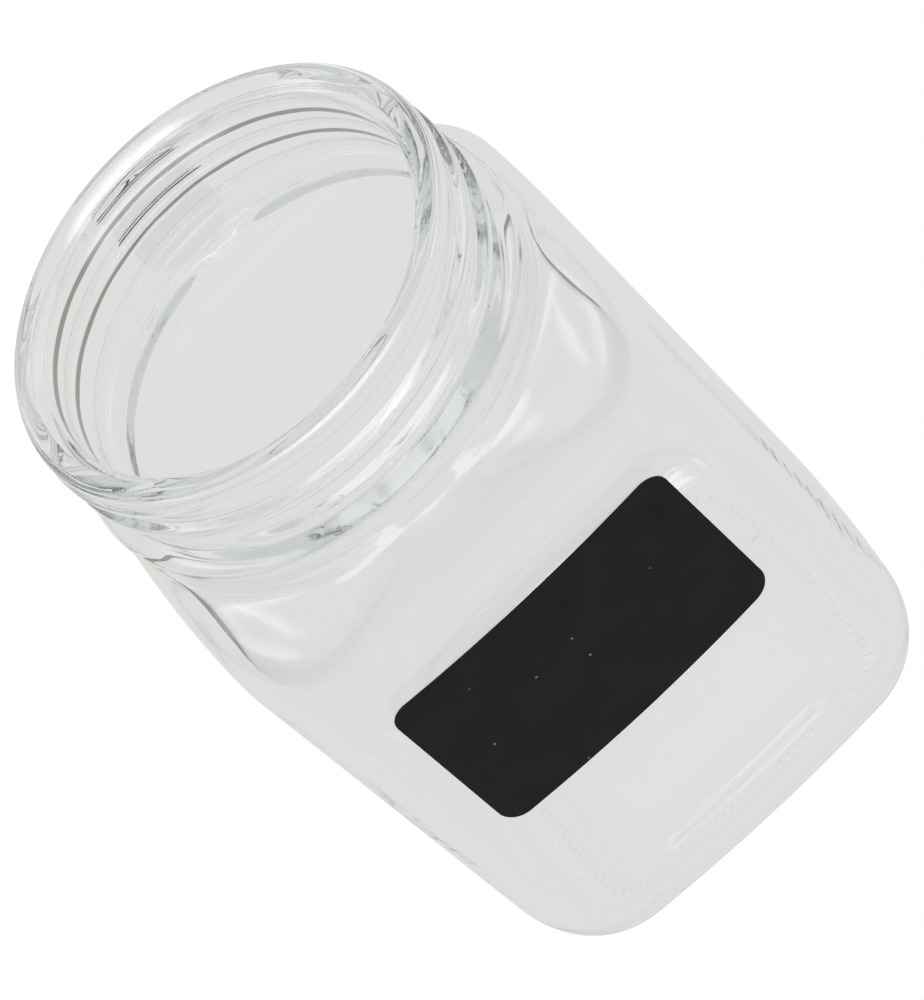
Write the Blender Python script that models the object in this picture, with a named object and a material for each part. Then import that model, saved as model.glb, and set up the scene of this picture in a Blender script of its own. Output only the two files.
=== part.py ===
# Square-bodied, wide-mouth specimen jar in clear glass, with a black write-on label.
# Metres, +Z up. The jar stands on z = 0 with the axis of its mouth on the Z axis,
# and the labelled panel faces -Y.

import math

import bmesh
import bpy

# Driving dimensions of the body
jar_height = 0.1463
shoulder_half_width = 0.0459
heel_half_width = 0.0448
shoulder_corner_radius = 0.0199
heel_corner_radius = 0.0183
panel_crown_radius = 0.308
shoulder_start = 0.0981
shoulder_end = 0.1184
shoulder_lower_pull = 0.0146
shoulder_upper_pull = 0.0046
shoulder_end_radius = 0.0425
heel_height = 0.0168
heel_inset = 0.0115
bearing_ring_width = 0.0036
push_up_height = 0.0024

# Inside of the body: glass thickness of the walls and the floor
wall_thickness = 0.0034
floor_thickness = 0.0042
floor_dome = 0.0014
inner_heel_height = 0.0125
inner_heel_inset = 0.0082

# Neck finish
lip_radius = 0.0414
bore_radius = 0.0358
neck_root_radius = 0.0399
collar_radius = 0.0431
collar_drop = 0.0219
lip_land_outer = 0.0399
lip_land_inner = 0.0376
lip_round = 0.0017
lip_bead_height = 0.0042

# Screw thread: one right-hand start that begins just under the lip
thread_pitch = 0.0064
thread_height = 0.0019
thread_width = 0.0056
thread_sweep = math.radians(735)
thread_fade = math.radians(26)
thread_start_angle = math.radians(-123)
thread_start_drop = 0.0042
thread_bite = 0.0006

# Label on the front panel
label_width = 0.060
label_height = 0.040
label_corner_radius = 0.004
label_thickness = 0.0002
label_bottom = 0.0512
label_offset = -0.0005
label_gap = 0.0003

# Mesh resolution
ring_points = 72
thread_steps_per_turn = 32


def clear_scene():
    for item in list(bpy.data.objects):
        bpy.data.objects.remove(item, do_unlink=True)


def make_material(name, color, roughness, transmission=0.0):
    material = bpy.data.materials.new(name)
    material.use_nodes = True
    shader = material.node_tree.nodes["Principled BSDF"]
    shader.inputs["Base Color"].default_value = (*color, 1.0)
    shader.inputs["Roughness"].default_value = roughness
    shader.inputs["Metallic"].default_value = 0.0
    shader.inputs["Transmission Weight"].default_value = transmission
    shader.inputs["IOR"].default_value = 1.52
    return material


def mix(low, high, share):
    return low + (high - low) * share


def corner_center(half_width, corner_radius):
    """Distance of a corner arc's centre from both axes of a crowned square."""
    crown_center = half_width - panel_crown_radius
    reach = panel_crown_radius - corner_radius
    root = 2 * reach ** 2 - crown_center ** 2
    return (crown_center + math.sqrt(root)) / 2


def section_radius(angle, half_width, corner_radius):
    """Distance from the axis to a crowned square with round corners, at a polar angle."""
    turn = angle % (math.pi / 2)
    turn = min(turn, math.pi / 2 - turn)
    side, forward = math.sin(turn), math.cos(turn)
    crown_center = half_width - panel_crown_radius
    center = corner_center(half_width, corner_radius)
    blend = math.atan2(center, center - crown_center)
    blend_side = panel_crown_radius * math.sin(blend)
    blend_forward = crown_center + panel_crown_radius * math.cos(blend)
    if side * blend_forward <= forward * blend_side:
        return crown_center * forward + math.sqrt(
            panel_crown_radius ** 2 - (crown_center * side) ** 2)
    along = center * (side + forward)
    return along + math.sqrt(along ** 2 - 2 * center ** 2 + corner_radius ** 2)


def quarter_arc(steps):
    """Sine and cosine pairs of a quarter turn, from 0 to 90 degrees."""
    for step in range(steps + 1):
        angle = math.pi / 2 * step / steps
        yield math.sin(angle), math.cos(angle)


def shoulder_curve(start, end, lower_pull, upper_pull, steps):
    """Height and width share of an S-shaped shoulder: 1 is the body's section, 0 the neck's."""
    for step in range(steps + 1):
        t = step / steps
        rest = 1 - t
        z = (start * rest ** 3 + 3 * (start + lower_pull) * rest ** 2 * t
             + 3 * (end - upper_pull) * rest * t ** 2 + end * t ** 3)
        yield z, rest ** 3 + 3 * rest ** 2 * t


def body_share(z):
    """0 at the top of the heel, 1 where the shoulder starts."""
    return (z - heel_height) / (shoulder_start - heel_height)


def body_half_width(z):
    return mix(heel_half_width, shoulder_half_width, body_share(z))


def body_corner_radius(z):
    return mix(heel_corner_radius, shoulder_corner_radius, body_share(z))


def outer_sections():
    """Rings (z, half width, corner radius) from the middle of the underside to the lip."""
    rings = []
    bearing_outer = heel_half_width - heel_inset
    bearing_inner = bearing_outer - bearing_ring_width
    bearing_corner = heel_corner_radius - heel_inset
    for share in (0.3, 0.55, 0.75, 0.88, 0.96, 1.0):
        width = bearing_inner * share
        rings.append((push_up_height * (1 - share ** 6), width, width * 0.4))
    for sine, cosine in quarter_arc(7):
        inset = heel_inset * (1 - sine)
        rings.append((heel_height * (1 - cosine),
                      heel_half_width - inset,
                      max(heel_corner_radius - inset, bearing_corner)))
    for share in (0.33, 0.66):
        z = mix(heel_height, shoulder_start, share)
        rings.append((z, body_half_width(z), body_corner_radius(z)))
    for z, share in shoulder_curve(shoulder_start, shoulder_end,
                                   shoulder_lower_pull, shoulder_upper_pull, 12):
        width = mix(shoulder_end_radius, shoulder_half_width, share)
        corner = mix(shoulder_end_radius, shoulder_corner_radius, share)
        rings.append((z, width, min(corner, width)))
    rings += round_rings(neck_outline())
    return rings


def neck_outline():
    """Radius and height points of the neck's outside, from the shoulder to the lip's land."""
    crest = jar_height - collar_drop
    points = [(collar_radius - 0.0010, crest - 0.0042),
              (collar_radius - 0.0006, crest - 0.0026),
              (collar_radius, crest - 0.0012),
              (collar_radius, crest + 0.0001),
              (collar_radius - 0.0006, crest + 0.0013),
              (mix(neck_root_radius, collar_radius, 0.4), crest + 0.0024),
              (neck_root_radius, crest + 0.0034),
              (neck_root_radius, jar_height - lip_bead_height),
              (mix(neck_root_radius, lip_radius, 0.7), jar_height - lip_bead_height * 0.82),
              (lip_radius, jar_height - lip_bead_height * 0.65)]
    for sine, cosine in quarter_arc(3):
        points.append((mix(lip_land_outer, lip_radius, cosine),
                       jar_height - lip_round * (1 - sine)))
    return points


def round_rings(points):
    return [(z, radius, radius) for radius, z in points]


def inner_sections():
    """Rings from the lip's land down the bore and the walls to the middle of the floor."""
    points = []
    for sine, cosine in quarter_arc(3):
        points.append((mix(bore_radius + 0.0003, lip_land_inner, cosine),
                       jar_height - lip_round * sine))
    points += [(bore_radius, jar_height - 0.0036)]
    rings = round_rings(points)
    top, bottom = shoulder_end + 0.0006, shoulder_start - 0.0020
    inner_shoulder = list(shoulder_curve(bottom, top, shoulder_lower_pull, shoulder_upper_pull, 12))
    for z, share in reversed(inner_shoulder):
        width = mix(bore_radius, shoulder_half_width - wall_thickness, share)
        corner = mix(bore_radius, shoulder_corner_radius - wall_thickness, share)
        rings.append((z, width, min(corner, width)))
    floor = floor_thickness
    for share in (0.33, 0.66):
        z = mix(bottom, floor + inner_heel_height, share)
        rings.append((z, body_half_width(z) - wall_thickness, body_corner_radius(z) - wall_thickness))
    for sine, cosine in quarter_arc(6):
        z = floor + inner_heel_height * (1 - sine)
        rim = floor + inner_heel_height
        inset = inner_heel_inset * (1 - cosine)
        rings.append((z, body_half_width(rim) - wall_thickness - inset,
                      body_corner_radius(rim) - wall_thickness - inset))
    width, corner = rings[-1][1:]
    for share in (0.66, 0.33):
        rings.append((floor + floor_dome * (1 - share ** 2), width * share, corner * share))
    return rings


def loft(name, rings, bottom_z, top_z):
    """Close a stack of rings into one body, with a fan of faces at each end."""
    mesh = bpy.data.meshes.new(name)
    build = bmesh.new()
    loops = []
    for z, half_width, corner_radius in rings:
        loop = []
        for index in range(ring_points):
            angle = 2 * math.pi * index / ring_points
            radius = section_radius(angle, half_width, corner_radius)
            loop.append(build.verts.new((radius * math.cos(angle), radius * math.sin(angle), z)))
        loops.append(loop)
    for lower, upper in zip(loops, loops[1:]):
        for index in range(ring_points):
            after = (index + 1) % ring_points
            build.faces.new((lower[index], lower[after], upper[after], upper[index]))
    first = build.verts.new((0, 0, bottom_z))
    last = build.verts.new((0, 0, top_z))
    for index in range(ring_points):
        after = (index + 1) % ring_points
        build.faces.new((first, loops[0][after], loops[0][index]))
        build.faces.new((last, loops[-1][index], loops[-1][after]))
    bmesh.ops.recalc_face_normals(build, faces=build.faces)
    build.to_mesh(mesh)
    build.free()
    return link_object(name, mesh)


def link_object(name, mesh):
    item = bpy.data.objects.new(name, mesh)
    bpy.context.scene.collection.objects.link(item)
    return item


def shade_round(item, sharp_degrees):
    item.data.shade_smooth()
    item.data.set_sharp_from_angle(angle=math.radians(sharp_degrees))


def thread_profile(share):
    """Rounded ridge outline (radius, height offset); share lowers it into the wall."""
    points = []
    foot = neck_root_radius - thread_bite
    steps = 8
    for step in range(steps + 1):
        across = math.pi * step / steps
        rise = (thread_height + thread_bite) * math.sin(across) ** 3 * share
        points.append((foot + rise, -thread_width / 2 * math.cos(across)))
    return points


def make_thread():
    """One helical ridge that fades into the neck at both ends."""
    mesh = bpy.data.meshes.new("thread_cutter")
    build = bmesh.new()
    count = round(thread_steps_per_turn * thread_sweep / (2 * math.pi))
    hoops = []
    for step in range(count + 1):
        sweep = thread_sweep * step / count
        edge = min(sweep, thread_sweep - sweep) / thread_fade
        share = max(math.sin(math.pi / 2 * min(edge, 1.0)), 0.12)
        angle = thread_start_angle - sweep
        z = jar_height - thread_start_drop - thread_pitch * sweep / (2 * math.pi)
        hoops.append([build.verts.new((radius * math.cos(angle), radius * math.sin(angle), z + offset))
                      for radius, offset in thread_profile(share)])
    for near, far in zip(hoops, hoops[1:]):
        for index in range(len(near)):
            after = (index + 1) % len(near)
            build.faces.new((near[index], near[after], far[after], far[index]))
    build.faces.new(hoops[0])
    build.faces.new(hoops[-1])
    bmesh.ops.recalc_face_normals(build, faces=build.faces)
    build.to_mesh(mesh)
    build.free()
    ridge = link_object("thread_cutter", mesh)
    ridge.hide_render = True
    ridge.display_type = "WIRE"
    return ridge


def make_jar():
    rings = outer_sections() + inner_sections()
    jar = loft("glass_jar", rings, push_up_height, floor_thickness + floor_dome)
    union = jar.modifiers.new("screw_thread", "BOOLEAN")
    union.operation = "UNION"
    union.solver = "EXACT"
    union.object = make_thread()
    shade_round(jar, 35)
    jar.data.materials.append(make_material("clear_glass", (0.93, 0.95, 0.94), 0.02, 1.0))
    return jar


def panel_depth(x, z):
    """Distance from the axis to the front panel's surface, beside the centre line by x."""
    half_width, corner_radius = body_half_width(z), body_corner_radius(z)
    crown_center = half_width - panel_crown_radius
    center = corner_center(half_width, corner_radius)
    blend = math.atan2(center, center - crown_center)
    if abs(x) <= panel_crown_radius * math.sin(blend):
        return crown_center + math.sqrt(panel_crown_radius ** 2 - x ** 2)
    return center + math.sqrt(corner_radius ** 2 - (abs(x) - center) ** 2)


def label_columns():
    """Positions across the label, closer together along its round corners."""
    straight = label_width / 2 - label_corner_radius
    middle = [mix(-straight, straight, step / 14) for step in range(15)]
    turn = [straight + label_corner_radius * sine for sine, _ in list(quarter_arc(6))[1:]]
    return [-x for x in reversed(turn)] + middle + turn


def make_label():
    """Thin film bent to the front panel, as a grid of columns inside a rounded outline."""
    mesh = bpy.data.meshes.new("label")
    build = bmesh.new()
    rows = 5
    straight = label_width / 2 - label_corner_radius
    middle_z = label_bottom + label_height / 2
    sheets = []
    for offset in (label_gap, label_gap + label_thickness):
        sheet = []
        for across in label_columns():
            x = across + label_offset
            past = max(abs(across) - straight, 0.0)
            cut = label_corner_radius - math.sqrt(max(label_corner_radius ** 2 - past ** 2, 0.0))
            reach = label_height / 2 - cut
            heights = [mix(middle_z - reach, middle_z + reach, row / rows) for row in range(rows + 1)]
            sheet.append([build.verts.new((x, -panel_depth(x, z) - offset, z)) for z in heights])
        sheets.append(sheet)
    for sheet in sheets:
        for left, right in zip(sheet, sheet[1:]):
            for row in range(rows):
                build.faces.new((left[row], right[row], right[row + 1], left[row + 1]))
    inner, outer = sheets
    for edge in (0, rows):
        for column in range(len(inner) - 1):
            build.faces.new((inner[column][edge], inner[column + 1][edge],
                             outer[column + 1][edge], outer[column][edge]))
    for column in (0, -1):
        for row in range(rows):
            build.faces.new((inner[column][row], inner[column][row + 1],
                             outer[column][row + 1], outer[column][row]))
    bmesh.ops.recalc_face_normals(build, faces=build.faces)
    build.to_mesh(mesh)
    build.free()
    label = link_object("label", mesh)
    shade_round(label, 35)
    label.data.materials.append(make_material("label_film", (0.018, 0.018, 0.018), 0.62))
    return label


clear_scene()
make_jar()
make_label()
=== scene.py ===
import math
import bpy
from mathutils import Matrix, Vector


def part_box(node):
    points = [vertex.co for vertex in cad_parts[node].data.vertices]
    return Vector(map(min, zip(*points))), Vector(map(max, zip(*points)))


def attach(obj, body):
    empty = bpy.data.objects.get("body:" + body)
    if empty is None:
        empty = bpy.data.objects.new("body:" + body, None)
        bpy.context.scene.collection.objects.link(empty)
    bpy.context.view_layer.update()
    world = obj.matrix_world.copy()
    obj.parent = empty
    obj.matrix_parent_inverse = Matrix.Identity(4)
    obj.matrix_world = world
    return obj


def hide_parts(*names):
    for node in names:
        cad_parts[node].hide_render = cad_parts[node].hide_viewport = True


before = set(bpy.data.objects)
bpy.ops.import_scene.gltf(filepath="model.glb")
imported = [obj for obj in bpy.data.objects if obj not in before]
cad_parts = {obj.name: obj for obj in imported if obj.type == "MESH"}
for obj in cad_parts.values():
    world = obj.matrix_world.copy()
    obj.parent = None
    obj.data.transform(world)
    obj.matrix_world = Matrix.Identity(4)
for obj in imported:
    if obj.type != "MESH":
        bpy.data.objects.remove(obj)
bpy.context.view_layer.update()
glassLow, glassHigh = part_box("glass_jar")
labelLow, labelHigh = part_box("label")
print("frame loaded:", sorted(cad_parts))


# A socket that can be used in sums, for shader trees and geometry trees alike
class Wire:
    def __init__(self, tree, socket=None):
        self.tree = tree
        self.socket = socket

    def node(self, kind, settings=None, values=None, out=0):
        # the settings first, then the values or links of the sockets
        made = self.tree.nodes.new(kind)
        for name, value in (settings or {}).items():
            setattr(made, name, value)
        for key, value in (values or {}).items():
            socket = made.inputs[key]
            if isinstance(value, Wire):
                self.tree.links.new(value.socket, socket)
            else:
                socket.default_value = value
        return Wire(self.tree, made.outputs[out])

    def math(self, operation, *others):
        values = {0: self}
        for index, other in enumerate(others):
            values[index + 1] = other
        return self.node("ShaderNodeMath", {"operation": operation}, values)

    def flipped(self, operation, first):
        return self.node("ShaderNodeMath", {"operation": operation}, {0: first, 1: self})

    def __add__(self, other):
        return self.math("ADD", other)

    def __radd__(self, other):
        return self.flipped("ADD", other)

    def __sub__(self, other):
        return self.math("SUBTRACT", other)

    def __rsub__(self, other):
        return self.flipped("SUBTRACT", other)

    def __mul__(self, other):
        return self.math("MULTIPLY", other)

    def __rmul__(self, other):
        return self.flipped("MULTIPLY", other)

    def __truediv__(self, other):
        return self.math("DIVIDE", other)

    def __rtruediv__(self, other):
        return self.flipped("DIVIDE", other)

    def __pow__(self, other):
        return self.math("POWER", other)

    def ramp(self, low, high, start=0.0, end=1.0, soft=True):
        # runs from start to end while the value goes from low to high
        kind = "SMOOTHSTEP" if soft else "LINEAR"
        span = {"Value": self, "From Min": low, "From Max": high, "To Min": start, "To Max": end}
        return self.node("ShaderNodeMapRange", {"interpolation_type": kind}, span)


def blendShades(start, share, first, second):
    # each shade is a wire or three numbers
    values = {0: share}
    for key, shade in ((6, first), (7, second)):
        values[key] = shade if isinstance(shade, Wire) else (*shade, 1)
    return start.node("ShaderNodeMix", {"data_type": "RGBA"}, values, 2)


def linkObject(name, data):
    item = bpy.data.objects.new(name, data)
    bpy.context.scene.collection.objects.link(item)
    return item


def newGeometryTree(name, sizes, extra=()):
    # a geometry tree with one named input for each size, and a material input at the end
    tree = bpy.data.node_groups.new(name, "GeometryNodeTree")
    tree.interface.new_socket(name="Mesh", in_out="INPUT", socket_type="NodeSocketGeometry")
    keys = {}
    for label, value in sizes.items():
        kind = "NodeSocketInt" if isinstance(value, int) else "NodeSocketFloat"
        item = tree.interface.new_socket(name=label, in_out="INPUT", socket_type=kind)
        keys[label] = item.identifier
    for label, kind in extra:
        item = tree.interface.new_socket(name=label, in_out="INPUT", socket_type=kind)
        keys[label] = item.identifier
    tree.interface.new_socket(name="Mesh", in_out="OUTPUT", socket_type="NodeSocketGeometry")
    source = tree.nodes.new("NodeGroupInput")
    wires = {socket.name: Wire(tree, socket) for socket in source.outputs if socket.name}
    return tree, keys, wires


def endTree(tree, wires, shape):
    realized = shape.node("GeometryNodeRealizeInstances", None, {"Geometry": shape})
    finish = {"Geometry": realized, "Material": wires["Finish"]}
    painted = shape.node("GeometryNodeSetMaterial", None, finish)
    output = tree.nodes.new("NodeGroupOutput")
    tree.links.new(painted.socket, output.inputs[0])


def applyTree(base, tree, keys, inputs, name):
    # runs the tree on the base object and keeps the result as a plain mesh
    modifier = base.modifiers.new(tree.name, "NODES")
    modifier.node_group = tree
    for label, value in inputs.items():
        modifier[keys[label]] = value
    graph = bpy.context.evaluated_depsgraph_get()
    solved = base.evaluated_get(graph)
    mesh = bpy.data.meshes.new_from_object(solved, preserve_all_data_layers=True, depsgraph=graph)
    mesh.name = name
    bpy.data.objects.remove(base, do_unlink=True)
    item = linkObject(name, mesh)
    print("made", name, "with", sum(len(face.vertices) - 2 for face in mesh.polygons), "triangles")
    return item


def mix(low, high, share):
    return low + (high - low) * share


def steps(count, first=1):
    # shares from 0 to 1, without the first one when first is 1
    return [index / count for index in range(first, count + 1)]


def smoothLine(points, perSpan):
    # Catmull-Rom curve through the points
    line = [points[0]]
    for index in range(len(points) - 1):
        before = points[max(index - 1, 0)]
        here, there = points[index], points[index + 1]
        after = points[min(index + 2, len(points) - 1)]
        for share in steps(perSpan):
            place = []
            for p0, p1, p2, p3 in zip(before, here, there, after):
                square = (2 * p0 - 5 * p1 + 4 * p2 - p3) * share ** 2
                cube = (3 * p1 - p0 - 3 * p2 + p3) * share ** 3
                place.append(0.5 * (2 * p1 + (p2 - p0) * share + square + cube))
            line.append(tuple(place))
    return line


# sizes of the glass, in metres
jar = {
    "columns": 256,
    "shoulderHalfWidth": glassHigh.x,
    "heelHalfWidth": glassHigh.x - 0.0011,  # the body narrows a little toward its foot
    "shoulderCorner": 0.0199,
    "heelCorner": 0.0183,
    "heelHeight": 0.0168,
    "heelInset": 0.0115,
    "bearingWidth": 0.0036,
    "pushUp": 0.0024,
    "shoulderStart": 0.0981,
    "shoulderEnd": 0.1184,
    "lowerPull": 0.0146,
    "upperPull": 0.0046,
    "neckWaist": 0.0425,
    "collarDrop": 0.0219,
    "collarRadius": 0.0431,
    "rootRadius": 0.0399,
    "lipRadius": 0.0414,
    "lipBead": 0.0042,
    "lipRound": 0.0017,
    "landOuter": 0.0399,
    "landInner": 0.0376,
    "boreRadius": 0.0358,
    "wall": 0.0034,
    "floor": 0.0042,
    "floorDome": 0.0014,
    "innerHeelHeight": 0.0125,
    "innerHeelInset": 0.0082,
}
jarTree = {
    "Panel Crown": 0.308,
    "Lip Height": glassHigh.z,
    "Neck Root": jar["rootRadius"],
    "Thread Pitch": 0.0064,
    "Thread Height": 0.0019,
    "Thread Width": 0.0056,
    "Thread Sweep": math.radians(735),
    "Thread Fade": math.radians(26),
    "Thread Start": math.radians(-123),
    "Thread Drop": 0.0042,
    "Thread Bite": 0.0006,
    "Thread Blend": 0.00015,
    "Wave Depth": 0.00010,
    "Wave Scale": 55.0,
    "Skin Depth": 0.000035,
    "Ripple Depth": 0.00016,
    "Ripple Scale": 150.0,
    "Seed": 4,
}
bearingCorner = 0.4  # corner radius under the jar, as a share of the half width
poleReach = 0.03  # the waves die away inside this radius, toward the middle of the base


def wallShare(z):
    return (z - jar["heelHeight"]) / (jar["shoulderStart"] - jar["heelHeight"])


def wallWidth(z):
    return mix(jar["heelHalfWidth"], jar["shoulderHalfWidth"], wallShare(z))


def wallCorner(z):
    return mix(jar["heelCorner"], jar["shoulderCorner"], wallShare(z))


def shoulderLine(start, end, count):
    for t in steps(count, 0):
        rest = 1 - t
        z = (start * rest ** 3 + 3 * (start + jar["lowerPull"]) * rest ** 2 * t
             + 3 * (end - jar["upperPull"]) * rest * t ** 2 + end * t ** 3)
        yield z, rest ** 3 + 3 * rest ** 2 * t


def outsideRows():
    # each row is height, half width, corner radius, 1 on the outside, 1 where the thread may rise
    top = glassHigh.z
    bearingOuter = jar["heelHalfWidth"] - jar["heelInset"]
    bearingInner = bearingOuter - jar["bearingWidth"]
    rows = []
    for share in steps(14):
        width = bearingInner * share
        rows.append((jar["pushUp"] * (1 - share ** 6), width, width * bearingCorner, 1, 0))
    for share in (0.3, 0.6, 0.85):
        corner = mix(bearingInner * bearingCorner, jar["heelCorner"] - jar["heelInset"], share)
        rows.append((0.0, mix(bearingInner, bearingOuter, share), corner, 1, 0))
    for share in steps(26, 0):
        angle = math.pi / 2 * share
        inset = jar["heelInset"] * (1 - math.sin(angle))
        rows.append((jar["heelHeight"] * (1 - math.cos(angle)), jar["heelHalfWidth"] - inset,
                     jar["heelCorner"] - inset, 1, 0))
    for share in steps(34):
        z = mix(jar["heelHeight"], jar["shoulderStart"], share)
        rows.append((z, wallWidth(z), wallCorner(z), 1, 0))
    for z, share in list(shoulderLine(jar["shoulderStart"], jar["shoulderEnd"], 34))[1:]:
        width = mix(jar["neckWaist"], jar["shoulderHalfWidth"], share)
        corner = mix(jar["neckWaist"], jar["shoulderCorner"], share)
        rows.append((z, width, min(corner, width), 1, 0))
    crest = top - jar["collarDrop"]
    collar, root, lip = jar["collarRadius"], jar["rootRadius"], jar["lipRadius"]
    points = [(jar["neckWaist"], jar["shoulderEnd"]),
              (collar - 0.0010, crest - 0.0042),
              (collar - 0.0006, crest - 0.0026),
              (collar, crest - 0.0012),
              (collar, crest + 0.0001),
              (collar - 0.0006, crest + 0.0013),
              (mix(root, collar, 0.4), crest + 0.0024),
              (root, crest + 0.0034)]
    for radius, z in smoothLine(points, 4)[1:]:
        rows.append((z, radius, radius, 1, 1 if z > crest + 0.002 else 0))
    threadTop = top - jar["lipBead"]
    for share in steps(46):
        rows.append((mix(crest + 0.0034, threadTop, share), root, root, 1, 1))
    bead = [(root, threadTop), (mix(root, lip, 0.7), top - jar["lipBead"] * 0.82),
            (lip, top - jar["lipBead"] * 0.65), (lip, top - jar["lipRound"])]
    for radius, z in smoothLine(bead, 5)[1:]:
        rows.append((z, radius, radius, 1, 1))
    for share in steps(9):
        angle = math.pi / 2 * share
        radius = mix(jar["landOuter"], lip, math.cos(angle))
        rows.append((top - jar["lipRound"] * (1 - math.sin(angle)), radius, radius, 1, 0))
    return rows


def insideRows():
    # from the lip down the bore and the walls to the middle of the floor
    top = glassHigh.z
    bore = jar["boreRadius"]
    rows = []
    for share in steps(9, 0):
        angle = math.pi / 2 * share
        radius = mix(bore, jar["landInner"], math.cos(angle))
        rows.append((top - jar["lipRound"] * (1 - math.cos(angle)), radius, radius, 0, 0))
    shoulderTop = jar["shoulderEnd"] + 0.0006
    shoulderFoot = jar["shoulderStart"] - 0.0020
    boreFoot = top - jar["lipRound"]
    for share in steps(24):
        rows.append((mix(boreFoot, shoulderTop, share), bore, bore, 0, 0))
    for z, share in reversed(list(shoulderLine(shoulderFoot, shoulderTop, 32))[:-1]):
        width = mix(bore, jar["shoulderHalfWidth"] - jar["wall"], share)
        corner = mix(bore, jar["shoulderCorner"] - jar["wall"], share)
        rows.append((z, width, min(corner, width), 0, 0))
    rim = jar["floor"] + jar["innerHeelHeight"]
    for share in steps(30):
        z = mix(shoulderFoot, rim, share)
        rows.append((z, wallWidth(z) - jar["wall"], wallCorner(z) - jar["wall"], 0, 0))
    for share in steps(20):
        angle = math.pi / 2 * share
        inset = jar["innerHeelInset"] * (1 - math.cos(angle))
        rows.append((jar["floor"] + jar["innerHeelHeight"] * (1 - math.sin(angle)),
                     wallWidth(rim) - jar["wall"] - inset, wallCorner(rim) - jar["wall"] - inset, 0, 0))
    width, corner = rows[-1][1:3]
    for share in reversed(steps(12)[:-1]):
        z = jar["floor"] + jar["floorDome"] * (1 - share ** 2)
        rows.append((z, width * share, corner * share, 0, 0))
    return rows


def makeJarBase():
    # plain grid of rows and columns; its attributes tell the geometry tree where each point belongs
    rows = outsideRows() + insideRows()
    count = jar["columns"]
    places, faces = [], []
    tags = {"turn": [], "halfWidth": [], "corner": [], "outside": [], "threaded": []}
    for z, width, corner, outside, threaded in rows:
        for index in range(count):
            angle = 2 * math.pi * index / count
            places.append((width * math.cos(angle), width * math.sin(angle), z))
            for name, value in zip(tags, (angle, width, corner, outside, threaded)):
                tags[name].append(value)
    for row in range(len(rows) - 1):
        low, high = row * count, (row + 1) * count
        for index in range(count):
            after = (index + 1) % count
            faces.append((low + index, low + after, high + after, high + index))
    foot, last = len(places), (len(rows) - 1) * count
    places += [(0, 0, jar["pushUp"]), (0, 0, jar["floor"] + jar["floorDome"])]
    for name in tags:
        tags[name] += [0.0, 0.0]
    for index in range(count):
        after = (index + 1) % count
        faces.append((foot, after, index))
        faces.append((foot + 1, last + index, last + after))
    mesh = bpy.data.meshes.new("jarBase")
    mesh.from_pydata(places, [], faces)
    for name, values in tags.items():
        mesh.attributes.new(name, "FLOAT", "POINT").data.foreach_set("value", values)
    return linkObject("jarBase", mesh)


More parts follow.
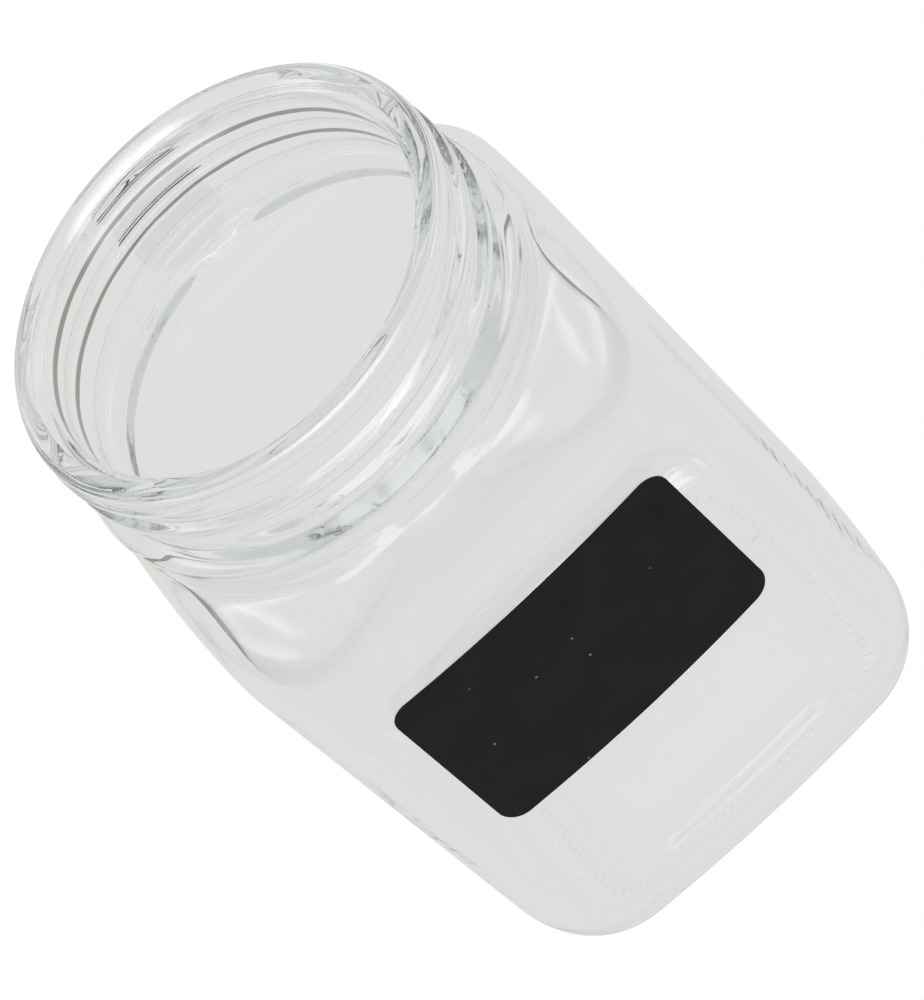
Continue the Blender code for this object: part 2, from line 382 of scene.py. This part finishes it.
def makeJarTree():
    tree, keys, wires = newGeometryTree("jarShape", jarTree, [("Finish", "NodeSocketMaterial")])
    start = wires["Mesh"]

    def attribute(name):
        return start.node("GeometryNodeInputNamedAttribute", {"data_type": "FLOAT"}, {"Name": name})

    turn, width, corner = attribute("turn"), attribute("halfWidth"), attribute("corner")
    outside, threaded = attribute("outside"), attribute("threaded")
    place = start.node("GeometryNodeInputPosition")
    height = start.node("ShaderNodeSeparateXYZ", None, {0: place}, 2)

    # crowned square with round corners, as a distance from the axis
    quarter = turn.math("MODULO", math.pi / 2)
    folded = quarter.math("MINIMUM", math.pi / 2 - quarter)
    side, forward = folded.math("SINE"), folded.math("COSINE")
    crown = wires["Panel Crown"]
    crownCenter = width - crown
    reach = crown - corner
    center = (crownCenter + (2 * reach * reach - crownCenter * crownCenter).math("SQRT")) * 0.5
    blendSide = crown * center / reach
    blendForward = crownCenter + crown * (center - crownCenter) / reach
    onPanel = (side * blendForward).math("LESS_THAN", forward * blendSide + 0.0000001)
    sag = crownCenter * side
    panelRadius = crownCenter * forward + (crown * crown - sag * sag).math("SQRT")
    along = center * (side + forward)
    cornerRadius = along + (along * along - 2 * center * center + corner * corner).math("SQRT")
    section = cornerRadius + (panelRadius - cornerRadius) * onPanel

    # one helical ridge that fades out at both ends
    pitch, sweepAll = wires["Thread Pitch"], wires["Thread Sweep"]
    fallen = (wires["Lip Height"] - wires["Thread Drop"] - height) / pitch * (2 * math.pi)
    firstTurn = (wires["Thread Start"] - turn + 4 * math.pi).math("MODULO", 2 * math.pi)
    sweep = firstTurn + ((fallen - firstTurn) / (2 * math.pi)).math("ROUND") * (2 * math.pi)
    sweep = sweep.math("MAXIMUM", firstTurn)
    offset = (sweep - fallen) * pitch / (2 * math.pi)
    across = offset / wires["Thread Width"] * 2
    bulge = (1 - across * across).math("MAXIMUM", 0.0) ** 1.5
    edge = sweep.math("MINIMUM", sweepAll - sweep) / wires["Thread Fade"]
    fade = (edge.math("MINIMUM", 1.0).math("MAXIMUM", 0.0) * (math.pi / 2)).math("SINE")
    ridge = wires["Neck Root"] + (wires["Thread Height"] + wires["Thread Bite"]) * bulge * fade
    ridge = ridge - wires["Thread Bite"]
    gap = section - ridge
    blend = wires["Thread Blend"]
    joined = (section + ridge + (gap * gap + blend * blend).math("SQRT")) * 0.5
    section = section + (joined - section) * threaded

    # slow waves in the glass, deeper on the inside, drawn out along the height
    drawn = start.node("ShaderNodeVectorMath", {"operation": "MULTIPLY"}, {0: place, 1: (1.0, 1.0, 0.32)})
    drawn = start.node("ShaderNodeVectorMath", {"operation": "ADD"}, {0: drawn, 1: wires["Seed"]})

    def unevenness(scale, **more):
        pattern = {"Vector": drawn, "Scale": scale, "Detail": 1.0, **more}
        return start.node("ShaderNodeTexNoise", {"noise_dimensions": "3D"}, pattern) - 0.5

    wave = unevenness(wires["Wave Scale"], Roughness=0.45)
    skin = unevenness(wires["Wave Scale"] * 2.2)
    ripple = unevenness(wires["Ripple Scale"], Distortion=0.6)
    belowLip = height.ramp(glassHigh.z - 0.016, glassHigh.z - 0.004, 1, 0)
    # the fine ripples stay in the corners and on the shoulder
    cornered = folded.ramp(math.radians(24), math.radians(38)) * height.ramp(0.008, 0.03)
    rippled = cornered.math("MAXIMUM", height.ramp(0.094, 0.104) * 0.5) * height.ramp(0.108, 0.118, 1, 0)
    fine = ripple * wires["Ripple Depth"] * rippled
    inner = (1 - outside) * (wave * wires["Wave Depth"] + fine) * 2 * belowLip
    outer = outside * (skin * wires["Skin Depth"] + fine * 0.3) * 2
    share = (width / poleReach).math("MINIMUM", 1.0)
    section = section + (inner + outer) * share

    moved = start.node("ShaderNodeCombineXYZ", None,
                       {"X": section * turn.math("COSINE"), "Y": section * turn.math("SINE"), "Z": height})
    atPole = width.math("LESS_THAN", 0.00001)
    final = start.node("GeometryNodeSwitch", {"input_type": "VECTOR"},
                       {"Switch": atPole, "False": moved, "True": place})
    shape = start.node("GeometryNodeSetPosition", None, {"Geometry": start, "Position": final})
    shape = start.node("GeometryNodeSetShadeSmooth", None, {"Geometry": shape, "Shade Smooth": True})
    endTree(tree, wires, shape)
    return tree, keys


def newMaterial(name):
    material = bpy.data.materials.new(name)
    material.use_nodes = True
    tree = material.node_tree
    shader = tree.nodes["Principled BSDF"]
    return material, tree, shader


glassFinish = {
    "tint": (0.99, 0.99, 0.99, 1),
    "ior": 1.52,
    "bodyColor": (0.868, 0.90, 0.888, 1),
    "bodyDensity": 4.0,
    "roughest": 0.02,
}


def makeGlassMaterial():
    material, tree, shader = newMaterial("clearGlass")
    shader.inputs["Base Color"].default_value = glassFinish["tint"]
    shader.inputs["Transmission Weight"].default_value = 1.0
    shader.inputs["IOR"].default_value = glassFinish["ior"]
    start = Wire(tree)
    place = start.node("ShaderNodeTexCoord", None, None, 3)
    # handling smears: slightly softer patches
    smear = start.node("ShaderNodeTexNoise", None, {"Vector": place, "Scale": 38.0, "Detail": 3.0})
    roughness = smear.ramp(0.52, 0.72, 0.0, glassFinish["roughest"])
    tree.links.new(roughness.socket, shader.inputs["Roughness"])
    absorb = start.node("ShaderNodeVolumeAbsorption", None,
                        {"Color": glassFinish["bodyColor"], "Density": glassFinish["bodyDensity"]})
    tree.links.new(absorb.socket, tree.nodes["Material Output"].inputs["Volume"])
    return material


labelFinish = {
    "black": (0.0094, 0.0094, 0.0096),
    "dusty": (0.0138, 0.0138, 0.0140),
    "speck": (0.22, 0.22, 0.21),
    "scratch": (0.045, 0.045, 0.045),
    "roughness": 0.58,
    "specular": 0.10,
    "speckScale": 230.0,
    "speckRarity": 0.93,  # cells whose random shade is above this keep their speck
}


def makeLabelMaterial():
    material, tree, shader = newMaterial("labelFilm")
    start = Wire(tree)
    place = start.node("ShaderNodeTexCoord", None, None, 3)
    # soft chalk haze over the black film
    cloud = {"Vector": place, "Scale": 90.0, "Detail": 5.0, "Roughness": 0.6}
    haze = start.node("ShaderNodeTexNoise", None, cloud)
    color = blendShades(start, haze.ramp(0.35, 0.70), labelFinish["black"], labelFinish["dusty"])
    # a few specks of dust, spread over the flat of the film
    sheet = start.node("ShaderNodeCombineXYZ", None,
                       {"X": start.node("ShaderNodeSeparateXYZ", None, {0: place}, 0),
                        "Y": start.node("ShaderNodeSeparateXYZ", None, {0: place}, 2)})
    cells = {"Vector": sheet, "Scale": labelFinish["speckScale"]}
    cellSort = {"feature": "F1", "voronoi_dimensions": "2D"}
    speckNear = start.node("ShaderNodeTexVoronoi", cellSort, cells, "Distance")
    speckShade = start.node("ShaderNodeTexVoronoi", cellSort, cells, "Color")
    pick = start.node("ShaderNodeSeparateColor", None, {0: speckShade}, 0)
    rarity = labelFinish["speckRarity"]
    reach = pick.ramp(rarity, 1.0, 0.035, 0.075, False)
    speck = (reach - speckNear).ramp(0.0, 0.03) * pick.ramp(rarity, rarity + 0.01)
    color = blendShades(start, speck * 0.8, color, labelFinish["speck"])
    # hairline scratches: the thin edge where a warped noise passes its middle
    bend = {"Vector": place, "Scale": 34.0, "Detail": 0.0, "Distortion": 0.9}
    warp = start.node("ShaderNodeTexNoise", None, bend)
    patch = start.node("ShaderNodeTexNoise", None, {"Vector": place, "Scale": 70.0, "Detail": 0.0})
    hair = (warp - 0.5).math("ABSOLUTE").ramp(0.0, 0.004, 1, 0) * patch.ramp(0.60, 0.68)
    color = blendShades(start, hair * 0.6, color, labelFinish["scratch"])
    tree.links.new(color.socket, shader.inputs["Base Color"])
    roughness = labelFinish["roughness"] + haze * 0.16 - hair * 0.2
    tree.links.new(roughness.socket, shader.inputs["Roughness"])
    tooth = start.node("ShaderNodeTexNoise", None, {"Vector": place, "Scale": 2600.0, "Detail": 2.0})
    relief = start.node("ShaderNodeBump", None,
                        {"Strength": 0.25, "Distance": 0.00003, "Height": tooth - hair * 0.4 + speck})
    tree.links.new(relief.socket, shader.inputs["Normal"])
    shader.inputs["Specular IOR Level"].default_value = labelFinish["specular"]
    return material


glassMaterial = makeGlassMaterial()
filmMaterial = makeLabelMaterial()

jarShape, jarKeys = makeJarTree()
jarGlass = applyTree(makeJarBase(), jarShape, jarKeys, {**jarTree, "Finish": glassMaterial}, "jarGlass")
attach(jarGlass, "root")
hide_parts("glass_jar")

# small ridges under the bearing ring, sizes in metres
marks = {
    "Count": 118,
    "Length": 0.0017,
    "Breadth": 0.00042,
    "Depth": 0.00016,
    "Spread": 0.0005,
    "Seed": 11,
}


def sectionPoint(angle, width, corner):
    # the same crowned square as in the geometry tree, for a single point
    crown = jarTree["Panel Crown"]
    quarter = angle % (math.pi / 2)
    folded = min(quarter, math.pi / 2 - quarter)
    side, forward = math.sin(folded), math.cos(folded)
    crownCenter, reach = width - crown, crown - corner
    center = (crownCenter + math.sqrt(2 * reach ** 2 - crownCenter ** 2)) / 2
    blendSide = crown * center / reach
    blendForward = crownCenter + crown * (center - crownCenter) / reach
    if side * blendForward <= forward * blendSide:
        radius = crownCenter * forward + math.sqrt(crown ** 2 - (crownCenter * side) ** 2)
    else:
        along = center * (side + forward)
        radius = along + math.sqrt(along ** 2 - 2 * center ** 2 + corner ** 2)
    return radius * math.cos(angle), radius * math.sin(angle)


def makeMarkBase():
    width = jar["heelHalfWidth"] - jar["heelInset"] - jar["bearingWidth"] * 0.45
    corner = mix(jar["heelCorner"] - jar["heelInset"], width * bearingCorner, 0.4)
    count = 240  # corners of the path that the ridges stand on
    places = [(*sectionPoint(2 * math.pi * index / count, width, corner), 0.0) for index in range(count)]
    mesh = bpy.data.meshes.new("markBase")
    mesh.from_pydata(places, [(index, (index + 1) % count) for index in range(count)], [])
    return linkObject("markBase", mesh)


def makeMarkTree():
    # small radial ridges, spaced evenly along the ring and each a little different
    tree, keys, wires = newGeometryTree("bearingMarks", marks, [("Finish", "NodeSocketMaterial")])
    start = wires["Mesh"]
    path = start.node("GeometryNodeMeshToCurve", None, {0: start})
    spacing = {"Curve": path, "Count": wires["Count"]}
    points = start.node("GeometryNodeCurveToPoints", {"mode": "COUNT"}, spacing)
    place = start.node("GeometryNodeInputPosition")
    outward = start.node("ShaderNodeVectorMath", {"operation": "NORMALIZE"}, {0: place})
    shift = start.node("FunctionNodeRandomValue", {"data_type": "FLOAT"},
                       {2: wires["Spread"] * -1, 3: wires["Spread"], "Seed": wires["Seed"]}, 1)
    shifted = start.node("ShaderNodeVectorMath", {"operation": "SCALE"}, {0: outward, "Scale": shift})
    points = start.node("GeometryNodeSetPosition", None, {"Geometry": points, "Offset": shifted})
    bead = start.node("GeometryNodeMeshUVSphere", None, {"Segments": 10, "Rings": 6, "Radius": 0.5})
    shape = start.node("ShaderNodeCombineXYZ", None,
                       {"X": wires["Length"], "Y": wires["Breadth"], "Z": wires["Depth"]})
    bead = start.node("GeometryNodeTransform", None, {"Geometry": bead, "Scale": shape})
    turned = start.node("FunctionNodeAlignRotationToVector", {"axis": "X"}, {"Vector": outward})
    size = start.node("FunctionNodeRandomValue", {"data_type": "FLOAT"},
                      {2: 0.7, 3: 1.2, "Seed": wires["Seed"] + 1}, 1)
    placed = start.node("GeometryNodeInstanceOnPoints", None,
                        {"Points": points, "Instance": bead, "Rotation": turned, "Scale": size})
    placed = start.node("GeometryNodeRealizeInstances", None, {"Geometry": placed})
    placed = start.node("GeometryNodeSetShadeSmooth", None, {"Geometry": placed, "Shade Smooth": True})
    endTree(tree, wires, placed)
    return tree, keys


markTree, markKeys = makeMarkTree()
markInputs = {**marks, "Finish": glassMaterial}
bearingMarks = applyTree(makeMarkBase(), markTree, markKeys, markInputs, "bearingMarks")
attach(bearingMarks, "root")

# the write-on film, sizes in metres
film = {
    "width": labelHigh.x - labelLow.x,
    "height": labelHigh.z - labelLow.z,
    "corner": 0.004,
    "thickness": 0.0002,
    "gap": 0.00008,
    "columns": 60,
    "turns": 14,  # columns in each round corner
    "rows": 30,
}


def makeFilmBase():
    # flat film of two sheets, with its columns closer together along the round corners
    straight = film["width"] / 2 - film["corner"]
    across = [mix(-straight, straight, share) for share in steps(film["columns"], 0)]
    turn = [straight + film["corner"] * math.sin(math.pi / 2 * share) for share in steps(film["turns"])]
    across = [-x for x in reversed(turn)] + across + turn
    middleX = (labelLow.x + labelHigh.x) / 2
    middleZ = (labelLow.z + labelHigh.z) / 2
    places, layers, faces = [], [], []
    rows = film["rows"]
    for layer in (0, 1):
        for x in across:
            past = max(abs(x) - straight, 0.0)
            cut = film["corner"] - math.sqrt(max(film["corner"] ** 2 - past ** 2, 0.0))
            reach = film["height"] / 2 - cut
            for row in range(rows + 1):
                places.append((middleX + x, labelLow.y, middleZ + mix(-reach, reach, row / rows)))
                layers.append(layer)
    perColumn = rows + 1
    second = len(across) * perColumn
    for column in range(len(across) - 1):
        here, there = column * perColumn, (column + 1) * perColumn
        for row in range(rows):
            corners = (here + row, there + row, there + row + 1, here + row + 1)
            faces.append(tuple(index + second for index in corners))
            faces.append(tuple(reversed(corners)))
        for edge, flip in ((0, False), (rows, True)):
            wall = (here + edge, there + edge, there + edge + second, here + edge + second)
            faces.append(tuple(reversed(wall)) if flip else wall)
    for column, flip in ((0, True), (len(across) - 1, False)):
        here = column * perColumn
        for row in range(rows):
            wall = (here + row, here + row + 1, here + row + 1 + second, here + row + second)
            faces.append(tuple(reversed(wall)) if flip else wall)
    mesh = bpy.data.meshes.new("filmBase")
    mesh.from_pydata(places, [], faces)
    mesh.attributes.new("layer", "FLOAT", "POINT").data.foreach_set("value", layers)
    return linkObject("filmBase", mesh)


def makeFilmTree():
    # lays the flat film on the glass: each point is thrown at the panel and stops just off it
    sizes = {"Gap": film["gap"], "Thickness": film["thickness"]}
    tree, keys, wires = newGeometryTree("filmLay", sizes, [("Glass", "NodeSocketObject"),
                                                           ("Finish", "NodeSocketMaterial")])
    start = wires["Mesh"]
    place = start.node("GeometryNodeInputPosition")
    layer = start.node("GeometryNodeInputNamedAttribute", {"data_type": "FLOAT"}, {"Name": "layer"})
    glass = start.node("GeometryNodeObjectInfo", {"transform_space": "RELATIVE"},
                       {"Object": wires["Glass"]}, "Geometry")
    origin = start.node("ShaderNodeVectorMath", {"operation": "ADD"}, {0: place, 1: (0, -0.02, 0)})
    hit = start.node("GeometryNodeRaycast", None,
                     {"Target Geometry": glass, "Source Position": origin, "Ray Direction": (0, 1, 0),
                      "Ray Length": 0.1}, "Hit Position")
    lift = wires["Gap"] + wires["Thickness"] * layer
    away = start.node("ShaderNodeCombineXYZ", None, {"X": 0.0, "Y": lift * -1, "Z": 0.0})
    laid = start.node("ShaderNodeVectorMath", {"operation": "ADD"}, {0: hit, 1: away})
    shape = start.node("GeometryNodeSetPosition", None, {"Geometry": start, "Position": laid})
    endTree(tree, wires, shape)
    return tree, keys


filmTree, filmKeys = makeFilmTree()
filmInputs = {"Gap": film["gap"], "Thickness": film["thickness"], "Glass": jarGlass, "Finish": filmMaterial}
labelFilm = applyTree(makeFilmBase(), filmTree, filmKeys, filmInputs, "labelFilm")
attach(labelFilm, "root")
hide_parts("label")

stageLook = {
    "white": (1.0, 1.0, 1.0),  # what the camera sees directly
    "floorSize": 4.0,
    "floorDrop": 0.0003,  # just under the jar, clear of its bearing ring
    # painted shade: the floor tones below are seen only in the glass and as light, grey near the jar and
    # dark far from it
    "nearFloor": (0.745, 0.742, 0.728),
    "farFloorShade": (0.25, 0.25, 0.235),
    "farFrom": 0.62,
    "farTo": 0.72,
    "sky": (0.78, 0.78, 0.77),
    "horizon": (0.05, 0.052, 0.036),
    "horizonTop": 0.36,
    "overhead": 4.0,
    "sideLight": 3.2,
    "calm": (0.70, 0.715, 0.70),
    "calmFrom": 6.5,
    "calmTo": 9.5,
}


def seenOrNot(start, other):
    # plain white where it is seen directly, and the other shade in glass and as light
    seen = start.node("ShaderNodeLightPath", None, None, "Is Camera Ray")
    return blendShades(start, seen, other, stageLook["white"])


def calmed(start, tone):
    # light that has bounced many times inside the walls comes out as one even shade
    depth = start.node("ShaderNodeLightPath", None, None, "Ray Depth")
    late = depth.ramp(stageLook["calmFrom"], stageLook["calmTo"])
    return blendShades(start, late, tone, stageLook["calm"])


def makeFloor():
    size = stageLook["floorSize"]
    mesh = bpy.data.meshes.new("floor")
    z = glassLow.z - stageLook["floorDrop"]
    corners = [(-size, -size, z), (size, -size, z), (size, size, z), (-size, size, z)]
    mesh.from_pydata(corners, [], [(0, 1, 2, 3)])
    floor = linkObject("floor", mesh)
    material = bpy.data.materials.new("paleFloor")
    material.use_nodes = True
    tree = material.node_tree
    tree.nodes.clear()
    start = Wire(tree)
    place = start.node("ShaderNodeTexCoord", None, None, 3)
    away = start.node("ShaderNodeVectorMath", {"operation": "LENGTH"}, {0: place}, "Value")
    # painted shade: one even tone that darkens far from the jar, shown only in the glass and as light
    far = away.ramp(stageLook["farFrom"], stageLook["farTo"])
    tone = blendShades(start, far, stageLook["nearFloor"], stageLook["farFloorShade"])
    shade = seenOrNot(start, calmed(start, tone))
    glow = start.node("ShaderNodeEmission", None, {"Color": shade, "Strength": 1.0})
    output = tree.nodes.new("ShaderNodeOutputMaterial")
    tree.links.new(glow.socket, output.inputs["Surface"])
    mesh.materials.append(material)


def makeWorld():
    world = bpy.data.worlds.new("softStudio")
    bpy.context.scene.world = world
    world.use_nodes = True
    tree = world.node_tree
    start = Wire(tree)
    direction = start.node("ShaderNodeTexCoord", None, None, 0)
    side = start.node("ShaderNodeSeparateXYZ", None, {0: direction}, 0)
    depth = start.node("ShaderNodeSeparateXYZ", None, {0: direction}, 1)
    rise = start.node("ShaderNodeSeparateXYZ", None, {0: direction}, 2)
    # dark at the horizon and pale above, but pale all the way down behind the jar
    up = rise.ramp(0.02, stageLook["horizonTop"])
    tone = blendShades(start, up, stageLook["horizon"], stageLook["sky"])
    tone = blendShades(start, depth.ramp(0.05, 0.45) * 0.9, tone, stageLook["sky"])
    # one bright panel overhead, tilted toward the front, and a softer one on each side
    toPanel = rise * 0.9 - depth * 0.436
    tone = blendShades(start, toPanel.ramp(0.86, 0.93), tone, (stageLook["overhead"],) * 3)
    lamp = side.math("ABSOLUTE").ramp(0.80, 0.92) * rise.ramp(0.30, 0.40)
    tone = blendShades(start, lamp, tone, (stageLook["sideLight"],) * 3)
    back = tree.nodes["Background"]
    tree.links.new(seenOrNot(start, calmed(start, tone)).socket, back.inputs["Color"])


# where the camera stands: angles about the target, distance in metres
shot = {
    "target": Vector((-0.0005, 0.0007, 0.0708)),
    "azimuth": math.radians(6.347),
    "elevation": math.radians(44.961),
    "roll": math.radians(-47.771),
    "distance": 0.9847,
    "lens": 207.88,
    "sensor": 36,
}


def makeCamera():
    level = math.cos(shot["elevation"])
    sideways, forward = math.sin(shot["azimuth"]), math.cos(shot["azimuth"])
    back = Vector((sideways * level, -forward * level, math.sin(shot["elevation"])))
    flatRight = (-back).cross(Vector((0, 0, 1))).normalized()
    flatUp = flatRight.cross(-back)
    right = flatRight * math.cos(shot["roll"]) + flatUp * math.sin(shot["roll"])
    up = flatUp * math.cos(shot["roll"]) - flatRight * math.sin(shot["roll"])
    data = bpy.data.cameras.new("camera")
    data.lens = shot["lens"]
    data.sensor_width = shot["sensor"]
    camera = linkObject("camera", data)
    pose = Matrix((right, up, back)).transposed().to_4x4()
    pose.translation = shot["target"] + back * shot["distance"]
    camera.matrix_world = pose
    bpy.context.scene.camera = camera


makeFloor()
makeWorld()
makeCamera()
print("stage, light and camera ready")

# light goes back and forth many times inside the walls
scene = bpy.context.scene
scene.view_settings.view_transform = "Standard"
scene.cycles.max_bounces = 96
scene.cycles.transmission_bounces = 64
scene.cycles.glossy_bounces = 96
scene.cycles.caustics_reflective = True
scene.cycles.caustics_refractive = True
